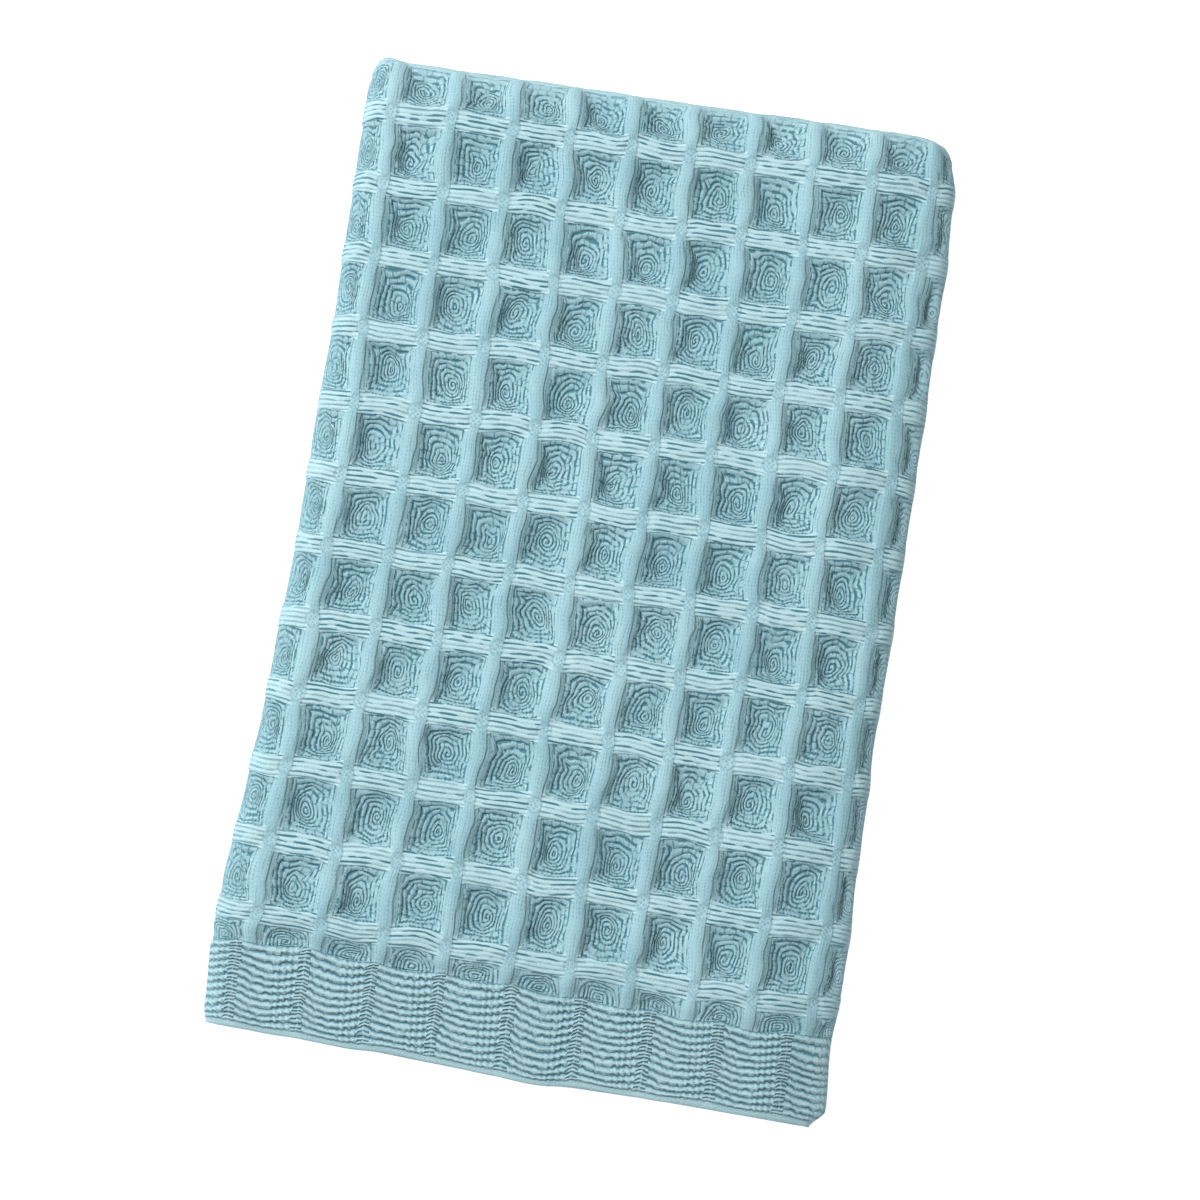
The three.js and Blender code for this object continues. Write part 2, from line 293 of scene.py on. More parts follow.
# Pattern of the yarn on the surface
BEAD_PITCH = 0.66
LINK_PITCH = 1.5
LINKS_LEFT_OUT = 0.36
FLOAT_PITCH = 0.75
FLOAT_BOW = 0.035
ROPE_PITCH = 0.42
CHECK_PITCH = 0.72
SLANT_PITCH = 0.72
LADDER_WIDE = 1.7
KNOT_RADIUS = 1.05
WOBBLE_SCALE = 0.55
FIBRE_SCALE = 3.7
STRAND_SCALE = (0.408, 1.8, 1.0)
PLY_SCALE = (1.3, 0.22, 1.0)
DASH_SCALE = 0.7
RIB_DASH_SCALE = 0.85
GROOVES_APART = 3.3

# How dark the painted shade in the gaps between the yarns is, from 0 to 1
RING_GAP = 0.95
LINK_GAP = 0.85
ROPE_GAP = 0.5
KNOT_GAP = 0.45
OUTLINE_GAP = 0.3
RIB_GAP = 0.78
STROKE_GAP = 0.42

# How far the yarns rise in the fine relief, as shares of its depth
RING_RISE = 0.7
FLOAT_RISE = 0.42
ROPE_RISE = 0.55
RIB_RISE = 1.3
FIBRE_RISE = 0.2
FINE_RELIEF = 0.35
FINE_RELIEF_STRENGTH = 0.85

# Stage, in metres and degrees
FLOOR_HALF = 3.0
KEY_PLACE = (-0.6, 0.27, 0.82)
KEY_SIZE = 0.55
CAMERA_ELEVATION = 84.95
CAMERA_ROLL = 8.71
CAMERA_FAR = 0.472
CAMERA_TARGET = (2.65 * MM, -2.21 * MM, 0.0)
CAMERA_ANGLE = 24.0
CAMERA_CLIP = (0.01, 20.0)

NAME = "washcloth"
CLOTH_MAP = "flat_cloth"
BAKE_MAP = "OFBake"
PIT_NOTE = "pit"
CHARACTER_NOTE = "character"
TONE_AND_PAINTED_LIGHT_NOTE = "tone_and_painted_light"
OPEN_NOTE = "open"


def ease(share):
    held = np.clip(share, 0.0, 1.0)
    return held * held * (3.0 - 2.0 * held)


def blend(start, end, share):
    return start + (end - start) * share


def hills(across, along, size, seed):
    """Smooth random heights from -1 to 1, with hills about a size apart."""
    heights = np.random.default_rng(seed).uniform(-1.0, 1.0, HILL_GRID)
    wide, long = size if isinstance(size, tuple) else (size, size)
    u = across / wide + HILL_START
    v = along / long + HILL_START
    i = np.floor(u).astype(int)
    j = np.floor(v).astype(int)
    fu = ease(u - i)
    fv = ease(v - j)
    corner = [[heights[(i + a) % HILL_GRID[0], (j + b) % HILL_GRID[1]] for b in (0, 1)] for a in (0, 1)]
    return blend(blend(corner[0][0], corner[1][0], fu), blend(corner[0][1], corner[1][1], fu), fv)


def uneven(across, along, sets):
    """The sum of several sets of hills."""
    return sum(height * hills(across, along, size, seed) for height, size, seed in sets)


def per_cell(column, row, seed):
    """A random number from -1 to 1 for each cell."""
    numbers = np.random.default_rng(seed).uniform(-1.0, 1.0, CELL_GRID)
    return numbers[column.astype(int) % CELL_GRID[0], row.astype(int) % CELL_GRID[1]]


# The fold: from a place on the flat cloth to its place in the folded one


def pushed(y, name):
    levels = np.array([row[0] for row in SIDEWAYS], float)
    pushes = np.array([row[SIDEWAYS_COLUMNS.index(name)] for row in SIDEWAYS], float)
    below = np.clip(np.searchsorted(-levels, -y), 1, len(levels) - 1)
    share = ease((levels[below - 1] - y) / (levels[below - 1] - levels[below]))
    return blend(pushes[below - 1], pushes[below], share)


def sideways(x, y, upper):
    right_edge = blend(pushed(y, "under"), pushed(y, "right_edge"), upper)
    pushes = [pushed(y, name) for name in SIDEWAYS_COLUMNS[1:5]] + [right_edge]
    push = pushes[0]
    for i in range(1, len(STATIONS)):
        share = np.clip((x - STATIONS[i - 1]) / (STATIONS[i] - STATIONS[i - 1]), 0.0, 1.0)
        push = push + (pushes[i] - pushes[i - 1]) * share
    return push


def lengthways(x, y):
    top = FOLD_CENTRE_Y + HALF_THICK
    lean = x / LEAN_REACH * blend(LEAN_HEM, LEAN_TOP, (y + top) / (2 * top))
    near_top = ease(1 - (top - y) / CORNER_REACH)
    near_left = ease((LEFT_FOLD_X + CORNER_REACH / 2 - x) / CORNER_REACH)
    near_right = ease((x - RIGHT_FOLD_X + CORNER_REACH / 2) / CORNER_REACH)
    droop = HEM_DROOP * ease(1 - np.abs(x) / HEM_DROOP_REACH) * ease(1 - (y + top) / HEM_DROOP_REACH)
    return lean - y * DRAWN_IN - droop + near_top * (CORNER_PULL * near_left - CORNER_DROP * near_right)


def height_share(x, y):
    hem_end = FOLD_CENTRE_Y + BEND - CLOTH_END
    hem = ease(1 - (y - hem_end) / HEM_TAPER)
    swell = SWELL * np.sin(x / SWELL_ACROSS + SWELL_START) * np.cos(y / SWELL_ALONG)
    return 1 - HEM_FLATTENED * hem + swell - RIGHT_SLOPE * ease((x - RIGHT_SLOPE_X) / RIGHT_SLOPE_WIDE)


def at_top_edge(along):
    """1 where the top fold makes the outline that is seen from above."""
    return ease((TOP_SMOOTHED - np.abs(along - TOP_EDGE)) / TOP_FADES_OVER)


def section(across, inner):
    """Place in the section of one pack: x, depth below its outer face, and turn round a side fold."""
    left = np.clip((LEFT_FOLD_X - across) / LEFT_ROLL, 0.0, math.pi)
    right = np.clip((across - RIGHT_FOLD_X) / RIGHT_ROLL, 0.0, math.pi)
    left_radius = blend(LEFT_ROLL, (UNDER_TOP - FACE_THICK) / 2, inner)
    right_radius = blend(RIGHT_ROLL, (TUCKED_TOP - FACE_THICK) / 2, inner)
    x = np.clip(across, LEFT_FOLD_X, RIGHT_FOLD_X)
    x = x - left_radius * np.sin(left) + right_radius * np.sin(right)
    x = x + np.maximum(LEFT_ROLL_END - across, 0.0) - np.maximum(across - RIGHT_ROLL_END, 0.0)
    depth = FACE_THICK * inner + left_radius * (1 - np.cos(left)) + right_radius * (1 - np.cos(right))
    return x, depth, right - left


def folded(x, depth, along):
    """Place of a point of the pack once it is bent over the top fold and made uneven."""
    radius = HALF_THICK - depth
    turn = np.clip(along, -BEND, BEND) / HALF_THICK
    y = FOLD_CENTRE_Y + radius * np.cos(turn) - np.maximum(np.abs(along) - BEND, 0.0)
    z = HALF_THICK + radius * np.sin(turn)
    upper = ease((along + BEND) / (2 * BEND))
    moved = np.stack([x + sideways(x, y, upper) - MIDDLE_X, y + lengthways(x, y), z * height_share(x, y)], 1)
    moved[:, 2] = np.maximum(moved[:, 2], 0.0)
    return moved


# The flat cloth: a mesh of cells, ribs and plain flaps, with across as X and along as Y


def stepped(stops, steps):
    """Places along a line, in even steps between its stops."""
    places = [stops[0]]
    for start, end, count in zip(stops, stops[1:], steps):
        places += [blend(start, end, step / count) for step in range(1, count + 1)]
    return places


def lined_grid(bm, across, along, layer=0.0):
    """A flat grid whose lines lie at the given places."""
    wide = len(across) - 1
    long = len(along) - 1
    made = bmesh.ops.create_grid(bm, x_segments=wide, y_segments=long, size=0.5)
    for vert in made["verts"]:
        i = round((vert.co.x + 0.5) * wide)
        j = round((vert.co.y + 0.5) * long)
        vert.co = (across[i], along[j], layer)


def waffle_cell(kind):
    """One cell: half ridges round a pit, which is inset into loops for the crests and gaps of its yarn."""
    bm = bmesh.new()
    lined_grid(bm, stepped(ACROSS_STOPS, ACROSS_STEPS), stepped(kind["stops"], kind["steps"]))
    low, high = kind["stops"][kind["pit"]], kind["stops"][kind["pit"] + 1]
    pit_faces = []
    for face in bm.faces:
        middle = face.calc_center_median()
        if ACROSS_STOPS[1] < middle.x < ACROSS_STOPS[2] and low < middle.y < high:
            pit_faces.append(face)
    pit = bmesh.ops.dissolve_faces(bm, faces=pit_faces)["region"][0]
    heart = Vector((CELL_WIDE / 2, kind["heart"], 0.0))
    loops = kind["loops"]
    for loop in range(1, loops):
        bmesh.ops.inset_individual(bm, faces=[pit], thickness=0.0)
        share = (loops - loop) / (loops - loop + 1)
        bmesh.ops.scale(bm, vec=(share, share, 1.0), space=Matrix.Translation(-heart), verts=pit.verts[:])
    bmesh.ops.poke(bm, faces=[pit])
    for vert in bm.verts:
        vert.co.z = 0.0
    return bm


def hem_cell(along):
    bm = bmesh.new()
    lined_grid(bm, stepped(ACROSS_STOPS, ACROSS_STEPS), along)
    return bm


def add_repeats(cloth, bm, start, rows=1):
    """Repeats one cell across the cloth and along it, and adds the whole block to the cloth."""
    for step, times in ((Vector((CELL_WIDE, 0.0, 0.0)), COLUMNS), (Vector((0.0, CELL_LONG, 0.0)), rows)):
        whole = bm.verts[:] + bm.edges[:] + bm.faces[:]
        for number in range(1, times):
            copied = bmesh.ops.duplicate(bm, geom=whole)["geom"]
            verts = [item for item in copied if isinstance(item, bmesh.types.BMVert)]
            bmesh.ops.translate(bm, vec=step * number, verts=verts)
    bmesh.ops.translate(bm, vec=(WOVEN_LEFT, start, 0.0), verts=bm.verts[:])
    block = bpy.data.meshes.new("block")
    bm.to_mesh(block)
    bm.free()
    cloth.from_mesh(block)
    bpy.data.meshes.remove(block)


def rib_lines():
    """Lines along the upper hem: three for each rib, then its plain edge, rounded at the end."""
    places = [(rib + step) * RIB_PITCH for rib in range(RIBS) for step in RIB_STEPS]
    return places + [RIBS_END, HEM_TALL - EDGE_LINE, HEM_TALL]


def kept_lines():
    """Lines along the cloth that also cross its plain flaps and its inner face."""
    ridges = [FIRST_ROW + CELL_LONG * row for row in range(LOWEST_ROW + 1, FULL_ROWS + 1)]
    return [-CLOTH_END, -HEM_START, HEM_START, CLOTH_END] + ridges


def flat_cloth():
    """The whole cloth as a thin flat slab. Its outer face is at layer 0 and its inner face at layer -1."""
    cloth = bmesh.new()
    for kind in ROW_KINDS.values():
        add_repeats(cloth, waffle_cell(kind), FIRST_ROW + kind["start"] * CELL_LONG, kind["rows"])
    lower_hem = [-place for place in reversed(stepped((0.0, RIBS_END, HEM_TALL), LOWER_HEM_STEPS))]
    add_repeats(cloth, hem_cell(rib_lines()), HEM_START)
    add_repeats(cloth, hem_cell(lower_hem), -HEM_START)

    bmesh.ops.remove_doubles(cloth, verts=cloth.verts[:], dist=SAME)
    on_right = sorted({round(v.co.y, 4) for v in cloth.verts if abs(v.co.x - WOVEN_RIGHT) < SAME})
    left_flap = stepped((UNDER_EDGE, LEFT_FLAP_STOP, LEFT_ROLL_END, WOVEN_LEFT), LEFT_FLAP_STEPS)
    right_flap = stepped((WOVEN_RIGHT, RIGHT_FLAP_STOP, TUCKED_EDGE), RIGHT_FLAP_STEPS)
    lined_grid(cloth, left_flap, on_right)
    lined_grid(cloth, right_flap, on_right)
    bmesh.ops.remove_doubles(cloth, verts=cloth.verts[:], dist=SAME)

    # A flap keeps only the lines that it needs for its folds and its seam
    bend_lines = [place for place in on_right if abs(place) < BEND + BEND_MARGIN][::2]
    kept = np.array(kept_lines() + bend_lines)
    spare = []
    for edge in cloth.edges:
        start, end = (vert.co for vert in edge.verts)
        flap = max(start.x, end.x) <= WOVEN_LEFT + SAME or min(start.x, end.x) >= WOVEN_RIGHT - SAME
        if flap and abs(start.y - end.y) < SAME and np.abs(kept - start.y).min() > 2 * SAME:
            spare.append(edge)
    bmesh.ops.dissolve_edges(cloth, edges=spare, use_verts=True)

    rim = [vert.co for edge in cloth.edges if edge.is_boundary for vert in edge.verts]
    across = sorted({round(co.x, 3) for co in rim})
    along = sorted({round(co.y, 3) for co in rim})
    lined_grid(cloth, across, along, layer=-1.0)
    edges = [edge for edge in cloth.edges if edge.is_boundary]
    bmesh.ops.bridge_loops(cloth, edges=edges)
    through = [edge for edge in cloth.edges if edge.verts[0].co.z != edge.verts[1].co.z]
    bmesh.ops.subdivide_edges(cloth, edges=through, cuts=2, use_grid_fill=True)
    bmesh.ops.triangulate(cloth, faces=[face for face in cloth.faces if len(face.verts) > 4])
    bmesh.ops.recalc_face_normals(cloth, faces=cloth.faces[:])
    bmesh.ops.reverse_faces(cloth, faces=cloth.faces[:])
    return cloth


def pit_places(across, along):
    """Where each point lies in its cell, and how far round and into its pit."""
    column = np.floor((across - FIRST_COLUMN + SAME) / CELL_WIDE)
    row = np.floor((along - FIRST_ROW + SAME) / CELL_LONG)
    u = across - FIRST_COLUMN - column * CELL_WIDE
    v = along - FIRST_ROW - row * CELL_LONG
    start = np.full(u.shape, PIT_START)
    end = np.full(u.shape, PIT_END)
    heart = np.full(u.shape, HEART)
    rings = np.full(u.shape, PIT_RINGS)
    part = row == FULL_ROWS
    end[part] = PART_PIT_END
    heart[part] = PART_HEART
    rings[part] = PART_RINGS
    start[row == LOWEST_ROW] = LOWEST_ROW_CUT
    reach = np.where(v < heart, heart - start, end - heart)
    right = (u - CELL_WIDE / 2) / (CELL_WIDE / 2 - HALF_COLUMN_RIDGE)
    down = (v - heart) / reach
    in_weave = (np.abs(along) < HEM_START + SAME) & (np.abs(across) < WOVEN_RIGHT + SAME)
    inward = np.where(in_weave, np.clip(1 - np.maximum(np.abs(right), np.abs(down)), 0.0, 1.0), 0.0)
    ring = inward * rings + uneven(across, along, RING_WANDER) * ease(inward / RINGS_WANDER_FROM)
    return {"column": column, "row": row, "u": u, "v": v, "right": right, "down": down,
            "reach": reach, "inward": inward, "ring": ring, "in_weave": in_weave}


def pit_character(column, row):
    """What sets one pit apart: turns of the spiral at its heart, and where a ring forks to let it out."""
    spiral = np.round(per_cell(column, row, 31) * MOST_SPIRALS)
    fork_right, fork_down = (per_cell(column, row, seed) for seed in (32, 33))
    fork_right = fork_right * FORK_SPREAD + np.sign(fork_right) * FORK_NEAREST
    fork_down = fork_down * FORK_SPREAD + np.sign(fork_down) * FORK_NEAREST
    return spiral, fork_right, fork_down


def weave_shifts(across, along, place, unevenness):
    """Moves of each outer point over the flat cloth, across and along."""
    column, row = place["column"], place["row"]
    right, down, inward = place["right"], place["down"], place["inward"]
    inside = inward > SAME
    part = row == FULL_ROWS

    # Outer loops are square and inner loops are round, round a heart that is off centre
    square = np.maximum(np.abs(right), np.abs(down))
    circle = np.maximum(np.hypot(right, down), TINY)
    round_from = np.where(part, PART_ROUND_FROM, RINGS_ROUND_FROM)
    rounded_by = ease((inward - round_from) / RINGS_ROUND_OVER) * RINGS_ROUNDED
    moved_out = inside * rounded_by * (ROUND_SIZE * square / circle - 1)
    half_wide = CELL_WIDE / 2 - HALF_COLUMN_RIDGE
    inner = unevenness * ease(inward / HEART_OFF_OVER)
    shift_across = right * moved_out * half_wide + inner * per_cell(column, row, 3) * HEART_OFF
    shift_along = down * moved_out * place["reach"]
    shift_along = shift_along + inner * per_cell(column, row, 4) * np.where(part, PART_HEART_OFF, HEART_OFF)
    shift_across = shift_across + inside * unevenness * uneven(across, along, PIT_WANDER_ACROSS)
    shift_along = shift_along + inside * unevenness * uneven(across, along, PIT_WANDER_ALONG)

    # Column ridges swell between their crossings, pits have round corners, and all ridges wander
    turn_across = 2 * math.pi * place["u"] / CELL_WIDE
    turn_along = 2 * math.pi * place["v"] / CELL_LONG
    shift_across = shift_across - SPINDLE * np.sin(turn_across) * np.cos(turn_along)
    near_crossing = ((1 + np.cos(turn_across)) * (1 + np.cos(turn_along))) ** 0.5 / 2
    shift_across = shift_across + CORNERS_ROUNDED * np.sin(turn_across) * near_crossing
    shift_along = shift_along + CORNERS_ROUNDED * np.sin(turn_along) * near_crossing * ~part
    shift_across = shift_across + unevenness * uneven(across, along, WANDER_ACROSS)
    shift_along = shift_along + unevenness * uneven(across, along, WANDER_ALONG)
    return shift_across, shift_along


def weave_lift(across, along, place, form):
    """How far each outer point stands out of the face, with the pits sunk into it."""
    column, row, inward = place["column"], place["row"], place["inward"]
    right, down = place["right"], place["down"]
    inside = inward > SAME
    yarn = form.yarn_relief / MM

    # Pits with ringed yarn
    part_depth = ease((place["v"] - PART_SHALLOW_FROM) / (PART_ROW - PART_SHALLOW_FROM))
    shallow = np.where(row == FULL_ROWS, blend(PART_DEPTH, PART_DEPTH_AT_HEM, part_depth), 1.0)
    depth = form.pit_depth / MM * shallow * (1 - (1 - inward) ** PIT_SIDES)
    spiral, fork_right, fork_down = pit_character(column, row)
    turned = np.arctan2(right, down) - np.arctan2(right - fork_right, down - fork_down)
    crest = 0.5 * np.cos(2 * math.pi * (place["ring"] + FIRST_RING) + spiral * turned)
    rise = yarn * (along > FINE_START) * crest * (1 + uneven(across, along, CREST_CHANGES))

    # Floats over the row ridges, round column ridges and sunk knots
    from_column = np.minimum(place["u"], CELL_WIDE - place["u"])
    from_row = np.minimum(place["v"], CELL_LONG - place["v"])
    on_column = np.clip(1 - (from_column / HALF_COLUMN_RIDGE) ** 2, 0.0, 1.0)
    on_row = np.clip(1 - (from_row / HALF_ROW_RIDGE) ** 2, 0.0, 1.0)
    between = ease((from_column - FLOAT_FROM) / FLOAT_GROWS_OVER)
    floats = -0.5 * np.cos(2 * math.pi * from_row / FLOAT_PITCH)
    floats = on_row ** FLOATS_FULL * between * yarn * floats * (1 + uneven(across, along, FLOAT_CHANGES))
    column_ridge = COLUMN_LIFT * on_column * (1 - CROSSING_FLATTENED * on_row)
    ridges = column_ridge + ROW_LIFT * on_row * between + floats
    knots = on_column * on_row * (uneven(across, along, KNOT_CHANGES) - KNOT_SUNK)
    ground = form.unevenness * uneven(across, along, GROUND_ROLLS) - GROUND_SUNK
    return np.where(place["in_weave"], np.where(inside, rise - depth, ridges) + knots + ground, 0.0)


def sag_at(across, along):
    """How far a rib of the hem sags between its stitch lines."""
    swing = (across - SAG_CLOSER * np.maximum(SAG_CLOSER_X - across, 0.0) - SAG_START) / SAG_PITCH
    swing = np.abs(swing - np.round(swing)) * 2
    to_right = np.clip((across - LEFT_FOLD_X) / (RIGHT_FOLD_X - LEFT_FOLD_X), 0.0, 1.0)
    sag = blend(SAG_LEFT, SAG_RIGHT, to_right) * (np.sin(swing * math.pi / 2) - 0.5)
    return sag + uneven(across, along, SAG_WANDER)


def hem_relief(across, along, form):
    """Moves of each point of a hem: along and out of the face."""
    from_start = np.abs(along) - HEM_START
    fade = ease((from_start - SAG_FADES_FROM) / (HEM_TALL - SAG_FADES_FROM))
    grown = blend(SAG_AT_JOIN, 1.0, ease(from_start / SAG_GROWS_OVER))
    shift = sag_at(across, along) * grown * blend(1.0, SAG_AT_EDGE, fade)
    shift = shift + uneven(across, 0 * along, HEM_EDGE_WANDER) * ease(from_start / HEM_TALL)
    phase = from_start / RIB_PITCH
    rib = ease(np.minimum(phase % 1.0, 1 - phase % 1.0) / RIB_SIDE)
    ribbed = ease((RIBS_END - from_start) / RIBS_FADE_OVER)
    lift = form.rib_relief / MM * (rib - RIB_MEAN) * ribbed * (1 + uneven(across, along, RIB_CHANGES))
    edge = np.clip((from_start - HEM_TALL + EDGE_ROUNDED) / EDGE_ROUNDED, 0.0, 1.0) ** 2
    return shift, lift - EDGE_DROP * edge


def fold_cloth(mesh, form):
    """Moves each point of the flat slab to its place in the folded cloth, and returns where it lay."""
    count = len(mesh.vertices)
    flat = np.empty(count * 3)
    mesh.vertices.foreach_get("co", flat)
    across, along, layer = flat.reshape(-1, 3).T.copy()
    inner = -layer

    place = pit_places(across, along)
    shift_across, shift_along = weave_shifts(across, along, place, form.unevenness)
    outer_face = layer == 0
    hem = np.abs(along) > HEM_START + SAME
    hem_shift, hem_lift = hem_relief(across, along, form)
    woven = ~hem & (np.abs(across) < WOVEN_RIGHT + SAME)
    steady = ease((HEM_START - np.abs(along)) / STEADY_BY_HEM)
    steady = steady * ease((STEADY_SIDES - np.abs(across)) / STEADY_BY_SIDES) * woven * outer_face
    moved_across = across + shift_across * steady
    moved_along = along + np.where(hem, np.sign(along) * hem_shift * outer_face, shift_along * steady)
    at_join = ease(1 - np.abs(along - HEM_START) / PART_ROW) * outer_face
    join_wave = uneven(across, 0 * along, JOIN_WANDER) + ~hem * SAG_AT_JOIN * sag_at(across, along)
    moved_along = moved_along + at_join * form.unevenness * join_wave
    lift = np.where(hem, hem_lift, weave_lift(across, along, place, form) * woven)
    lift = lift - UPPER_HEM_SUNK * (along > 0) * ease((along - HEM_START) / HEM_SINKS_OVER + 1)
    flaps = (across < LEFT_ROLL_END + SAME) | (across > WOVEN_RIGHT + SAME)
    lift = np.where(flaps, 0.0, lift)

    x, depth, turn = section(moved_across, np.zeros(count))
    lost = np.where(turn < 0, LOST_ON_LEFT_ROLL, LOST_ON_RIGHT_ROLL)
    lift = lift * (1 - np.where(hem, RIBS_LOST_ON_ROLL, lost) * np.sin(turn) ** 2)
    lift = lift * (1 - LOST_ON_TOP_FOLD * at_top_edge(along))
    outer = folded(x + lift * np.sin(turn), depth - lift * np.cos(turn), moved_along)
    x, depth, turn = section(across, np.ones(count))
    inside = folded(x, depth, along)
    places = blend(outer, inside, inner[:, None])
    mesh.vertices.foreach_set("co", (places * MM).ravel())
    mesh.update()
    return across, along, layer


def as_floats(*columns):
    """Columns of numbers as the single row that a mesh takes."""
    return np.stack(columns, 1).astype(np.float32).ravel()


def note_weave(mesh, across, along, layer):
    """Writes what the dye reads at each point: place in a pit, the pit's character, patchy tone with painted
    light and shade, and open gaps.
    """
    place = pit_places(across, along)
    outer = (layer == 0) & place["in_weave"]
    ring = np.where(outer, place["ring"], 0.0)
    notes = {
        PIT_NOTE: (place["right"], place["down"], ring),
        CHARACTER_NOTE: pit_character(place["column"], place["row"]),
    }
    for name, columns in notes.items():
        note = mesh.attributes.new(name, "FLOAT_VECTOR", "POINT")
        note.data.foreach_set("vector", as_floats(*columns))
    turn = section(across, np.zeros(len(across)))[2]
    stretched = np.where(turn < 0, GAPS_CLOSED_LEFT, GAPS_CLOSED_RIGHT) * ease(np.abs(turn) / GAPS_CLOSED_BY)
    over_top = at_top_edge(along) * GAPS_CLOSED_TOP
    near_hem = np.where((place["row"] == FULL_ROWS) & (along < HEM_START + SAME), GAPS_CLOSED_HEM, 0.0)
    closed = np.maximum(np.maximum(stretched, over_top), near_hem)
    # Patchy tone, with painted light over the top fold
    tone_and_painted_light = uneven(across, along, TONE_PATCHES) + PAINTED_TOP_LIGHT * at_top_edge(along)
    # Painted shade over the left fold and painted light over the right fold
    tone_and_painted_light = tone_and_painted_light + PAINTED_ROLL_SHADE_AND_LIGHT * np.sign(turn) * ease(np.abs(turn) / PAINTED_ROLL_SHADE_AND_LIGHT_BY)
    # Painted shade beside the right fold
    tone_and_painted_light = tone_and_painted_light - PAINTED_RIGHT_SHADE * ease(1 - np.abs(across - PAINTED_RIGHT_SHADE_X) / PAINTED_RIGHT_SHADE_REACH)
    for name, values in ((TONE_AND_PAINTED_LIGHT_NOTE, tone_and_painted_light), (OPEN_NOTE, 1 - closed)):
        note = mesh.attributes.new(name, "FLOAT", "POINT")
        note.data.foreach_set("value", as_floats(values))


def lay_out_maps(mesh, across, along, layer):
    """Two maps: the flat cloth in millimetres for the pattern, and one that fits a square image."""
    corner = np.empty(len(mesh.loops), int)
    mesh.loops.foreach_get("vertex_index", corner)
    u, v = across[corner], along[corner]
    pattern = mesh.uv_layers.new(name=CLOTH_MAP)
    pattern.uv.foreach_set("vector", as_floats(u, v))

    sides = np.empty(len(mesh.polygons), int)
    mesh.polygons.foreach_get("loop_total", sides)
    face = np.repeat(np.arange(len(sides)), sides)

    def middle(values):
        return (np.bincount(face, values[corner]) / sides)[face]

    inner = middle(layer) < -SAME
    flap = np.abs(middle(across)) > WOVEN_RIGHT
    upper = middle(along) > FINE_START
    from_end = v + CLOTH_END
    x = np.where(upper, UPPER_HALF_AT[0], LOWER_HALF_AT[0]) + u
    y = np.where(upper, UPPER_HALF_AT[1] + v, LOWER_HALF_AT[1] + from_end)
    x = np.where(inner | flap, HIDDEN_X + (u + HIDDEN_LEFT) * HIDDEN_WIDE, x)
    y = np.where(inner | flap, np.where(inner, INNER_FACE_Y, FLAPS_Y) + from_end * HIDDEN_LONG, y)
    bake = mesh.uv_layers.new(name=BAKE_MAP)
    bake.uv.foreach_set("vector", as_floats(x / BAKE_SPAN, y / BAKE_SPAN))


# Materials


class Value:
    """A number that varies over a surface, which can be worked with as a number."""

    def __init__(self, dye, socket):
        self.dye = dye
        self.socket = socket

    def maths(self, operation, first, second):
        return self.dye.node("ShaderNodeMath", {"operation": operation}, {0: first, 1: second})

    def __add__(self, other):
        return self.maths("ADD", self, other)

    def __radd__(self, other):
        return self.maths("ADD", other, self)

    def __sub__(self, other):
        return self.maths("SUBTRACT", self, other)

    def __rsub__(self, other):
        return self.maths("SUBTRACT", other, self)

    def __mul__(self, other):
        return self.maths("MULTIPLY", self, other)

    def __rmul__(self, other):
        return self.maths("MULTIPLY", other, self)

    def __truediv__(self, other):
        return self.maths("DIVIDE", self, other)

    def __mod__(self, other):
        return self.maths("FLOORED_MODULO", self, other)

    def __abs__(self):
        return self.maths("ABSOLUTE", self, 0.0)

    def least(self, other):
        return self.maths("MINIMUM", self, other)

    def most(self, other):
        return self.maths("MAXIMUM", self, other)

    def cosine(self):
        return self.maths("COSINE", self, 0.0)

    def whole(self):
        return self.maths("FLOOR", self, 0.0)

    def above(self, other):
        return self.maths("GREATER_THAN", self, other)

    def turn(self, other):
        """Angle of a direction, in turns."""
        return self.maths("ARCTAN2", self, other) * (0.5 / math.pi)


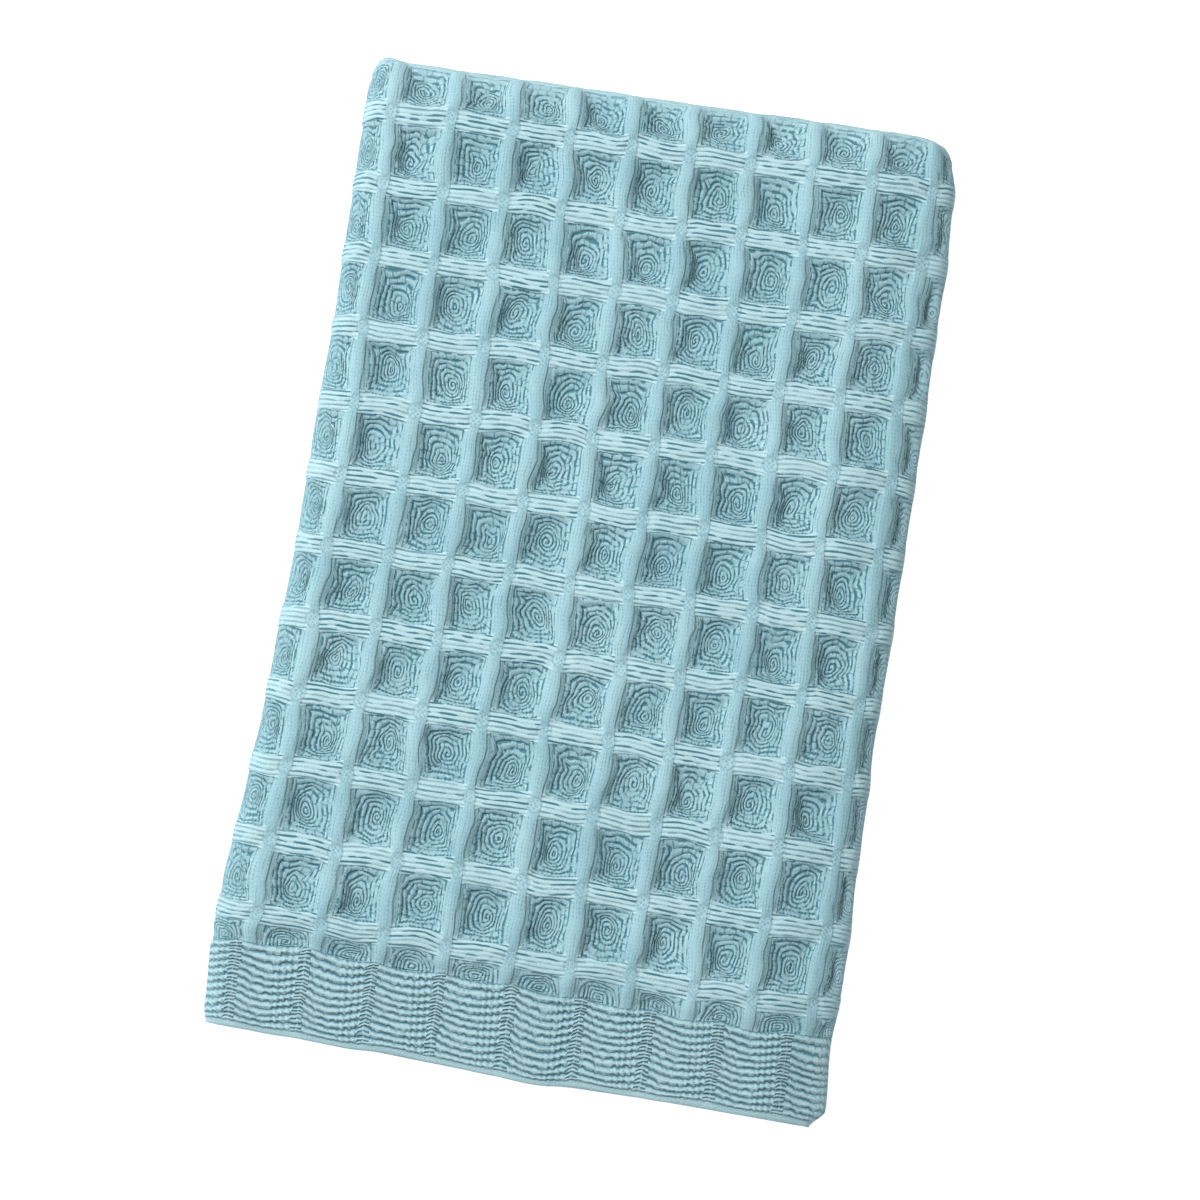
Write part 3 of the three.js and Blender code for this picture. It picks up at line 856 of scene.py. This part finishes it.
class Dye:
    """A material whose nodes all come from one method."""

    def __init__(self, name):
        self.material = bpy.data.materials.new(name)
        self.material.use_nodes = True
        self.tree = self.material.node_tree
        self.tree.nodes.clear()

    def node(self, kind, settings=None, inputs=None, output=0):
        made = self.tree.nodes.new(kind)
        for key, setting in (settings or {}).items():
            setattr(made, key, setting)
        for key, given in (inputs or {}).items():
            if isinstance(given, Value):
                self.tree.links.new(given.socket, made.inputs[key])
            else:
                made.inputs[key].default_value = given
        return None if output is None else Value(self, made.outputs[output])

    def step(self, value, low, high):
        """0 below low and 1 above high, eased between them."""
        return self.node("ShaderNodeMapRange", {"interpolation_type": "SMOOTHSTEP"},
                         {"Value": value, "From Min": low, "From Max": high})

    def noise(self, vector, scale, detail=0.0):
        """Smooth noise from -0.5 to 0.5."""
        return self.node("ShaderNodeTexNoise", {"noise_dimensions": "2D"},
                         {"Vector": vector, "Scale": scale, "Detail": detail}, "Fac") - 0.5

    def vector(self, *numbers):
        return self.node("ShaderNodeCombineXYZ", {}, dict(enumerate(numbers)))

    def chance(self, *numbers):
        """An even random number from 0 to 1 for each set of three numbers."""
        return self.node("ShaderNodeTexWhiteNoise", {"noise_dimensions": "3D"},
                         {"Vector": self.vector(*numbers)}, "Value")

    def note(self, name):
        """Three numbers that the mesh holds for each point."""
        held = self.node("ShaderNodeAttribute", {"attribute_name": name}, {}, "Vector")
        return self.parts(held)

    def parts(self, vector):
        split = self.node("ShaderNodeSeparateXYZ", {}, {0: vector}, "X").socket.node
        return [Value(self, split.outputs[axis]) for axis in "XYZ"]

    def mixed(self, share, first, second):
        shades = [shade if isinstance(shade, Value) else (*shade, 1.0) for shade in (first, second)]
        return self.node("ShaderNodeMix", {"data_type": "RGBA"}, {0: share, 6: shades[0], 7: shades[1]}, 2)

    def finish(self, inputs):
        """The shader at the end of the nodes, with the material's output."""
        shader = self.node("ShaderNodeBsdfPrincipled", {}, inputs, "BSDF")
        self.node("ShaderNodeOutputMaterial", {}, {"Surface": shader}, None)

    def stretched(self, vector, scale):
        return self.node("ShaderNodeVectorMath", {"operation": "MULTIPLY"}, {0: vector, 1: scale})


def from_line(value, pitch, offset=0.0):
    """How far a place is past the nearest of many lines that are a pitch apart."""
    return (value - offset + pitch / 2) % pitch - pitch / 2


def nearest_line(value, pitch, offset=0.0):
    return abs(from_line(value, pitch, offset))


def rounded(between):
    """Height of a yarn, from its crest at 0 to the groove beside it at 1."""
    return 1 - between * between


def cotton(colours):
    dye = Dye("cotton")
    flat = dye.node("ShaderNodeUVMap", {"uv_map": CLOTH_MAP}, {}, "UV")
    across, along, _ = dye.parts(flat)
    wobble = dye.noise(flat, WOBBLE_SCALE)
    fibres = dye.noise(flat, FIBRE_SCALE) * 0.8
    strands = dye.noise(dye.stretched(flat, STRAND_SCALE), 1.0) * 0.8
    plies = dye.noise(dye.stretched(flat, PLY_SCALE), 1.0, 1.0)
    # Patchy tone with painted light and shade over the folds
    tone_and_painted_light = dye.node("ShaderNodeAttribute", {"attribute_name": TONE_AND_PAINTED_LIGHT_NOTE}, {}, "Fac")
    opened = dye.node("ShaderNodeAttribute", {"attribute_name": OPEN_NOTE}, {}, "Fac")

    hem = dye.step(abs(along), HEM_START - 0.15, HEM_START + 0.15)
    weave = 1 - hem
    pit = pit_yarn(dye, across, along)
    ridge = ridge_yarn(dye, across, along, strands, plies)
    ribs = hem_yarn(dye, across, along, wobble, strands)
    in_pit = pit["mask"] * weave
    on_ridge = (1 - pit["mask"]) * weave
    # Painted shade in the gaps between the yarns, less of it over the folds where the gaps close
    gap = (pit["gap"] * in_pit + ridge["gap"] * on_ridge + ribs["gap"] * hem) * opened
    rise = (pit["rise"] * in_pit + ridge["rise"] * on_ridge + ribs["rise"] * hem) * opened
    # Painted highlights on yarn crests, floats, knots and the plain hem edge, with random fibres
    painted_highlight = ridge["painted_highlight"] * on_ridge * opened + ribs["painted_highlight"] * hem + pit["painted_highlight"] * in_pit
    painted_highlight = (painted_highlight + fibres * 0.7).most(0.0).least(1.0)

    # Share of the pale yarn against the shade colour: patchy tone and fibres, painted light and shade over
    # the folds, painted shade deep in the pits, and darker column ridges
    pale = dye.step(tone_and_painted_light + fibres - pit["shade"] - ridge["shade"], -0.9, 0.45)
    # Painted highlights lighten the yarn towards the float colour, and painted shade in the gaps darkens it
    # towards the gap colour
    yarn = dye.mixed(painted_highlight, dye.mixed(pale, colours.shade, colours.yarn), colours.float)
    colour = dye.mixed(gap, yarn, colours.gap)
    height = rise + fibres * FIBRE_RISE
    bump = dye.node("ShaderNodeBump", {}, {
        "Strength": FINE_RELIEF_STRENGTH, "Distance": FINE_RELIEF * MM, "Height": height}, "Normal")
    dye.finish({"Base Color": colour, "Roughness": 0.9, "Specular IOR Level": 0.25, "Normal": bump})
    return dye.material


def pit_yarn(dye, across, along):
    """Rings of yarn round the heart of a pit: wavering, forked, beaded, and crossed by short links."""
    right, down, ring = dye.note(PIT_NOTE)
    spiral, fork_right, fork_down = dye.note(CHARACTER_NOTE)
    turns = right.turn(down) - (right - fork_right).turn(down - fork_down)
    phase = ring + FIRST_RING + spiral * turns
    number = (phase + 0.5).whole()
    groove = phase.whole()
    between = abs(phase - number) * 2

    # The yarn runs across on the near and far sides of a pit and along on its other two
    sideways = abs(right).above(abs(down))
    run = across + sideways * (along - across)
    dashes = dye.noise(dye.vector(run * DASH_SCALE, groove * GROOVES_APART + fork_right * 20, 0.0), 1.0, 1.0)
    beads = (run * (2 * math.pi / BEAD_PITCH) + groove * 2.4).cosine()
    lower = dye.step(down, -0.2, 0.7)
    ring_gap = dye.step(between + dashes.least(0.05) * 3.2 + beads * (0.04 + lower * 0.18), 0.6, 0.84)

    # Each link lies across one yarn, and about a third of their places are empty
    offset = run / LINK_PITCH + dye.chance(number, spiral, fork_down)
    from_link = nearest_line(offset, 1.0) * LINK_PITCH
    chosen = dye.chance(number, (offset + 0.5).whole(), fork_right).above(LINKS_LEFT_OUT - lower * 0.12)
    link = (1 - dye.step(from_link, 0.06, 0.22)) * chosen * dye.step(ring, 0.3, 0.5)
    return {
        "mask": dye.step(ring, 0.02, 0.25),
        # Painted shade, darker towards the deep middle of the pit
        "shade": dye.step(ring, 0.0, 2.5) * 0.45,
        # Painted shade in the gaps between the rings and at the links
        "gap": (ring_gap + link * LINK_GAP).least(1.0) * RING_GAP,
        "rise": rounded(between) * RING_RISE,
        # Painted highlights: bright specks on the crests of the rings
        "painted_highlight": (1 - dye.step(between, 0.1, 0.6)) * (0.1 + dashes * 2.2),
    }


def ridge_yarn(dye, across, along, strands, plies):
    """Long floats over the row ridges, a finely ribbed rope on the column ridges, and outlined knots."""
    from_column = nearest_line(across, CELL_WIDE, FIRST_COLUMN)
    centre = from_line(along, CELL_LONG, FIRST_ROW)
    from_row = abs(centre)
    row = ((along - FIRST_ROW) / CELL_LONG + 0.5).whole()
    column = ((across - FIRST_COLUMN) / CELL_WIDE).whole()
    bow = from_column * (CELL_WIDE - from_column) * (dye.chance(column, row, 0.0) - 0.5) * FLOAT_BOW
    place = centre * (1.22 - from_column * 0.06) + bow + strands * 0.14
    between = 1 - nearest_line(place, FLOAT_PITCH) * (2 / FLOAT_PITCH)
    groove = (place / FLOAT_PITCH + 0.5).whole()
    dark = (0.3 + dye.chance(groove, row, column) * 1.1).least(1.0)
    off_column = dye.step(from_column + plies * 0.9, 0.6, 1.0)
    on_row = 1 - dye.step(from_row, HALF_ROW_RIDGE + 0.1, HALF_ROW_RIDGE + 0.5)
    float_gap = dye.step(between + strands.least(0.05) * 2.6, 0.54, 0.84) * dark
    floats = on_row * off_column

    on_column = 1 - off_column
    knot = on_column * (1 - dye.step(from_row, 0.9, 1.6))
    rope = ((across + plies * 0.4) * (2 * math.pi / ROPE_PITCH)).cosine()
    weft = ((along + plies * 0.8) * (2 * math.pi / CHECK_PITCH)).cosine()
    check = ((across + strands * 0.8) * (2 * math.pi / CHECK_PITCH)).cosine() * weft
    rope_gap = dye.step(rope + plies * 2.4 + weft * 0.4, 0.2, 1.8) * (1 - floats - knot) * ROPE_GAP
    knot_gap = dye.step(check + plies, 0.0, 0.7) * knot * KNOT_GAP
    from_knot = from_column * from_column + from_row * from_row
    outline = (1 - dye.step(abs(from_knot - KNOT_RADIUS ** 2), 0.1, 0.6)) * OUTLINE_GAP
    return {
        # Column ridges a little darker
        "shade": on_column * 0.2,
        # Painted shade in the grooves between floats, in the lines of the rope, and in the knots' check and
        # outline
        "gap": (float_gap * floats + rope_gap + knot_gap).most(outline),
        "rise": floats * rounded(between) * FLOAT_RISE + on_column * ROPE_RISE,
        # Painted highlights on the crests of the floats, and brighter knots
        "painted_highlight": floats * (0.85 - between * 0.4) + knot * 0.25,
    }


def hem_yarn(dye, across, along, wobble, strands):
    """Broken ribs, with slanting strokes where each wave climbs and a ladder of close stitches at its top."""
    from_start = abs(along) - HEM_START
    in_waves = across - (SAG_CLOSER_X - across).most(0.0) * SAG_CLOSER
    from_ladder = from_line(in_waves + wobble * 0.6, SAG_PITCH, SAG_START)
    ladder = 1 - dye.step(abs(from_ladder), LADDER_WIDE / 2, LADDER_WIDE / 2 + 0.2)
    wave = (in_waves - SAG_START) % SAG_PITCH
    climbing = dye.step(wave, SAG_PITCH * 0.5, SAG_PITCH * 0.68)
    slant = ((across * 0.75 - along * 0.66) * (2 * math.pi / SLANT_PITCH)).cosine()
    groove = (from_start / RIB_PITCH + 0.5).whole()
    dashes = dye.noise(dye.vector(across * RIB_DASH_SCALE, groove * GROOVES_APART, 0.0), 1.0, 1.0)
    place = from_start + dashes * 0.7 + strands * 0.12 + slant * climbing * 0.085
    between = 1 - nearest_line(place, RIB_PITCH) * (2 / RIB_PITCH)
    rib_gap = dye.step(between + dashes.least(0.1) * 1.1, 0.64, 0.88)
    stroke = dye.step(slant + dashes * 1.6, 0.3, 0.9) * climbing * STROKE_GAP
    rungs = 1 - nearest_line(from_start + from_ladder * 0.1 + wobble * 0.4, RIB_PITCH / 2) * (4 / RIB_PITCH)
    rung_gap = dye.step(rungs + dashes * 1.2, 0.35, 0.75) * dye.step(abs(from_ladder), 0.06, 0.2)
    ribbed = 1 - dye.step(from_start, RIBS_END - 0.5, RIBS_END + 0.3)
    plain = 1 - ribbed
    return {
        # Painted shade in the grooves between the ribs, in the strokes and between the rungs
        "gap": (rib_gap.most(stroke) * (1 - ladder) + rung_gap * ladder) * ribbed * RIB_GAP,
        "rise": rounded(between + (rungs - between) * ladder) * ribbed * RIB_RISE,
        # Painted highlights on the crests of the ribs, and a brighter plain edge and ladder
        "painted_highlight": dye.step(1 - between, 0.3, 0.9) * 0.5 * ribbed + plain * 0.35 + ladder * 0.12 + 0.08,
    }


def backdrop(colour, glow):
    """Pale paper that glows, as a lit backdrop does, so that shadows on it stay faint."""
    dye = Dye("pale floor")
    dye.finish({"Base Color": (*colour, 1.0), "Roughness": 0.9, "Specular IOR Level": 0.1,
                "Emission Color": (1.0, 1.0, 1.0, 1.0), "Emission Strength": glow})
    return dye.material


# Settings that a user would change


class ClothForm(bpy.types.PropertyGroup):
    pit_depth: FloatProperty(
        name="Pit depth", description="How far the middle of a pit lies below the ridges",
        default=2.1 * MM, min=0.5 * MM, max=2.6 * MM, subtype="DISTANCE", unit="LENGTH")
    yarn_relief: FloatProperty(
        name="Yarn relief", description="Height of a yarn over the gap beside it",
        default=0.34 * MM, min=0.0, max=0.6 * MM, subtype="DISTANCE", unit="LENGTH")
    rib_relief: FloatProperty(
        name="Rib relief", description="Height of a rib of the hem over the groove beside it",
        default=0.38 * MM, min=0.0, max=0.8 * MM, subtype="DISTANCE", unit="LENGTH")
    unevenness: FloatProperty(
        name="Unevenness", description="How far the weave strays from an even grid",
        default=1.0, min=0.0, max=1.5, subtype="FACTOR")


class ClothColours(bpy.types.PropertyGroup):
    yarn: FloatVectorProperty(
        name="Yarn", description="Main colour of the cotton",
        default=(0.345, 0.55, 0.61), size=3, min=0.0, max=1.0, subtype="COLOR")
    # Painted highlights lighten the yarn towards this colour: crests of the yarns, floats, knots and the
    # plain edge of the hem
    float: FloatVectorProperty(
        name="Floats", description="Colour of the bright yarns that lie over the row ridges",
        default=(0.52, 0.735, 0.785), size=3, min=0.0, max=1.0, subtype="COLOR")
    # Patchy tone and painted shade mix the yarn towards this colour: deep in the pits, over the left fold and
    # beside the right one, and a little on the column ridges
    shade: FloatVectorProperty(
        name="Shade", description="Colour of the slightly darker patches",
        default=(0.275, 0.475, 0.535), size=3, min=0.0, max=1.0, subtype="COLOR")
    # Painted shade in the gaps between the yarns
    gap: FloatVectorProperty(
        name="Gaps", description="Colour deep between the yarns",
        default=(0.075, 0.215, 0.27), size=3, min=0.0, max=1.0, subtype="COLOR")


class StudioSettings(bpy.types.PropertyGroup):
    floor: FloatVectorProperty(
        name="Floor", description="Colour of the floor",
        default=(0.3, 0.3, 0.3), size=3, min=0.0, max=1.0, subtype="COLOR")
    key_power: FloatProperty(
        name="Key light", description="Power of the large soft light",
        default=12.0, min=0.0, subtype="POWER", unit="POWER")
    fill: FloatProperty(
        name="Fill", description="Strength of the light from all round",
        default=0.34, min=0.0, max=3.0)
    glow: FloatProperty(
        name="Glow", description="Light that the floor gives by itself",
        default=0.92, min=0.0, max=2.0)


# Operators


class WASHCLOTH_OT_weave(bpy.types.Operator):
    """Weaves the cloth flat, folds it in thirds and in half, and dyes it"""

    bl_idname = "washcloth.weave"
    bl_label = "Weave and fold the cloth"
    bl_options = {"REGISTER", "UNDO"}

    def execute(self, context):
        form = context.scene.washcloth_form
        bm = flat_cloth()
        mesh = bpy.data.meshes.new(NAME)
        bm.to_mesh(mesh)
        bm.free()
        across, along, layer = fold_cloth(mesh, form)
        note_weave(mesh, across, along, layer)
        lay_out_maps(mesh, across, along, layer)
        mesh.polygons.foreach_set("use_smooth", np.ones(len(mesh.polygons), bool))
        piece = bpy.data.objects.new(NAME, mesh)
        context.scene.collection.objects.link(piece)
        piece.data.materials.append(cotton(context.scene.washcloth_colours))
        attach(piece, "root")
        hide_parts("cloth")
        return {"FINISHED"}


class WASHCLOTH_OT_studio(bpy.types.Operator):
    """Lays the pale floor and sets the soft lights and the camera"""

    bl_idname = "washcloth.studio"
    bl_label = "Set the studio"
    bl_options = {"REGISTER", "UNDO"}

    def execute(self, context):
        settings = context.scene.washcloth_studio
        lay_floor(context, settings)
        light_studio(context, settings)
        place_camera(context)
        return {"FINISHED"}


def lay_floor(context, settings):
    bm = bmesh.new()
    bmesh.ops.create_grid(bm, x_segments=1, y_segments=1, size=FLOOR_HALF)
    mesh = bpy.data.meshes.new("floor")
    bm.to_mesh(mesh)
    bm.free()
    floor = bpy.data.objects.new("floor", mesh)
    context.scene.collection.objects.link(floor)
    mesh.materials.append(backdrop(settings.floor, settings.glow))


def light_studio(context, settings):
    world = bpy.data.worlds.new("soft studio")
    world.use_nodes = True
    background = world.node_tree.nodes["Background"]
    background.inputs["Color"].default_value = (1.0, 1.0, 1.0, 1.0)
    background.inputs["Strength"].default_value = settings.fill
    context.scene.world = world

    lamp = bpy.data.lights.new("key", "AREA")
    lamp.shape = "DISK"
    lamp.size = KEY_SIZE
    lamp.energy = settings.key_power
    key = bpy.data.objects.new("key", lamp)
    key.location = KEY_PLACE
    key.rotation_euler = (-Vector(key.location)).to_track_quat("-Z", "Y").to_euler()
    context.scene.collection.objects.link(key)


def place_camera(context):
    elevation = math.radians(CAMERA_ELEVATION)
    roll = math.radians(CAMERA_ROLL)
    back = Vector((0.0, -math.cos(elevation), math.sin(elevation)))
    right = Vector((1.0, 0.0, 0.0))
    up = back.cross(right)
    turned_right = right * math.cos(roll) + up * math.sin(roll)
    turned_up = up * math.cos(roll) - right * math.sin(roll)
    camera = bpy.data.cameras.new("camera")
    camera.angle = math.radians(CAMERA_ANGLE)
    camera.clip_start, camera.clip_end = CAMERA_CLIP
    view = bpy.data.objects.new("camera", camera)
    view.matrix_world = Matrix.LocRotScale(
        Vector(CAMERA_TARGET) + back * CAMERA_FAR,
        Matrix((turned_right, turned_up, back)).transposed(), None)
    context.scene.collection.objects.link(view)
    context.scene.camera = view
    context.scene.view_settings.view_transform = "Standard"


class VIEW3D_PT_washcloth(bpy.types.Panel):
    """Buttons for the washcloth and its studio"""

    bl_idname = "VIEW3D_PT_washcloth"
    bl_label = "Waffle washcloth"
    bl_space_type = "VIEW_3D"
    bl_region_type = "UI"
    bl_category = "Washcloth"

    def draw(self, context):
        layout = self.layout
        for name in ("washcloth_form", "washcloth_colours", "washcloth_studio"):
            settings = getattr(context.scene, name)
            for key in settings.__annotations__:
                layout.prop(settings, key)
        for operator in OPERATORS:
            layout.operator(operator.bl_idname)


SETTINGS = {
    "washcloth_form": ClothForm,
    "washcloth_colours": ClothColours,
    "washcloth_studio": StudioSettings,
}
OPERATORS = (WASHCLOTH_OT_weave, WASHCLOTH_OT_studio)
CLASSES = (*SETTINGS.values(), *OPERATORS, VIEW3D_PT_washcloth)


def register():
    for cls in CLASSES:
        bpy.utils.register_class(cls)
    for name, group in SETTINGS.items():
        setattr(bpy.types.Scene, name, PointerProperty(type=group))


def unregister():
    for name in SETTINGS:
        delattr(bpy.types.Scene, name)
    for cls in reversed(CLASSES):
        bpy.utils.unregister_class(cls)


def main():
    register()
    bpy.ops.washcloth.weave()
    bpy.ops.washcloth.studio()


if __name__ == "__main__":
    main()
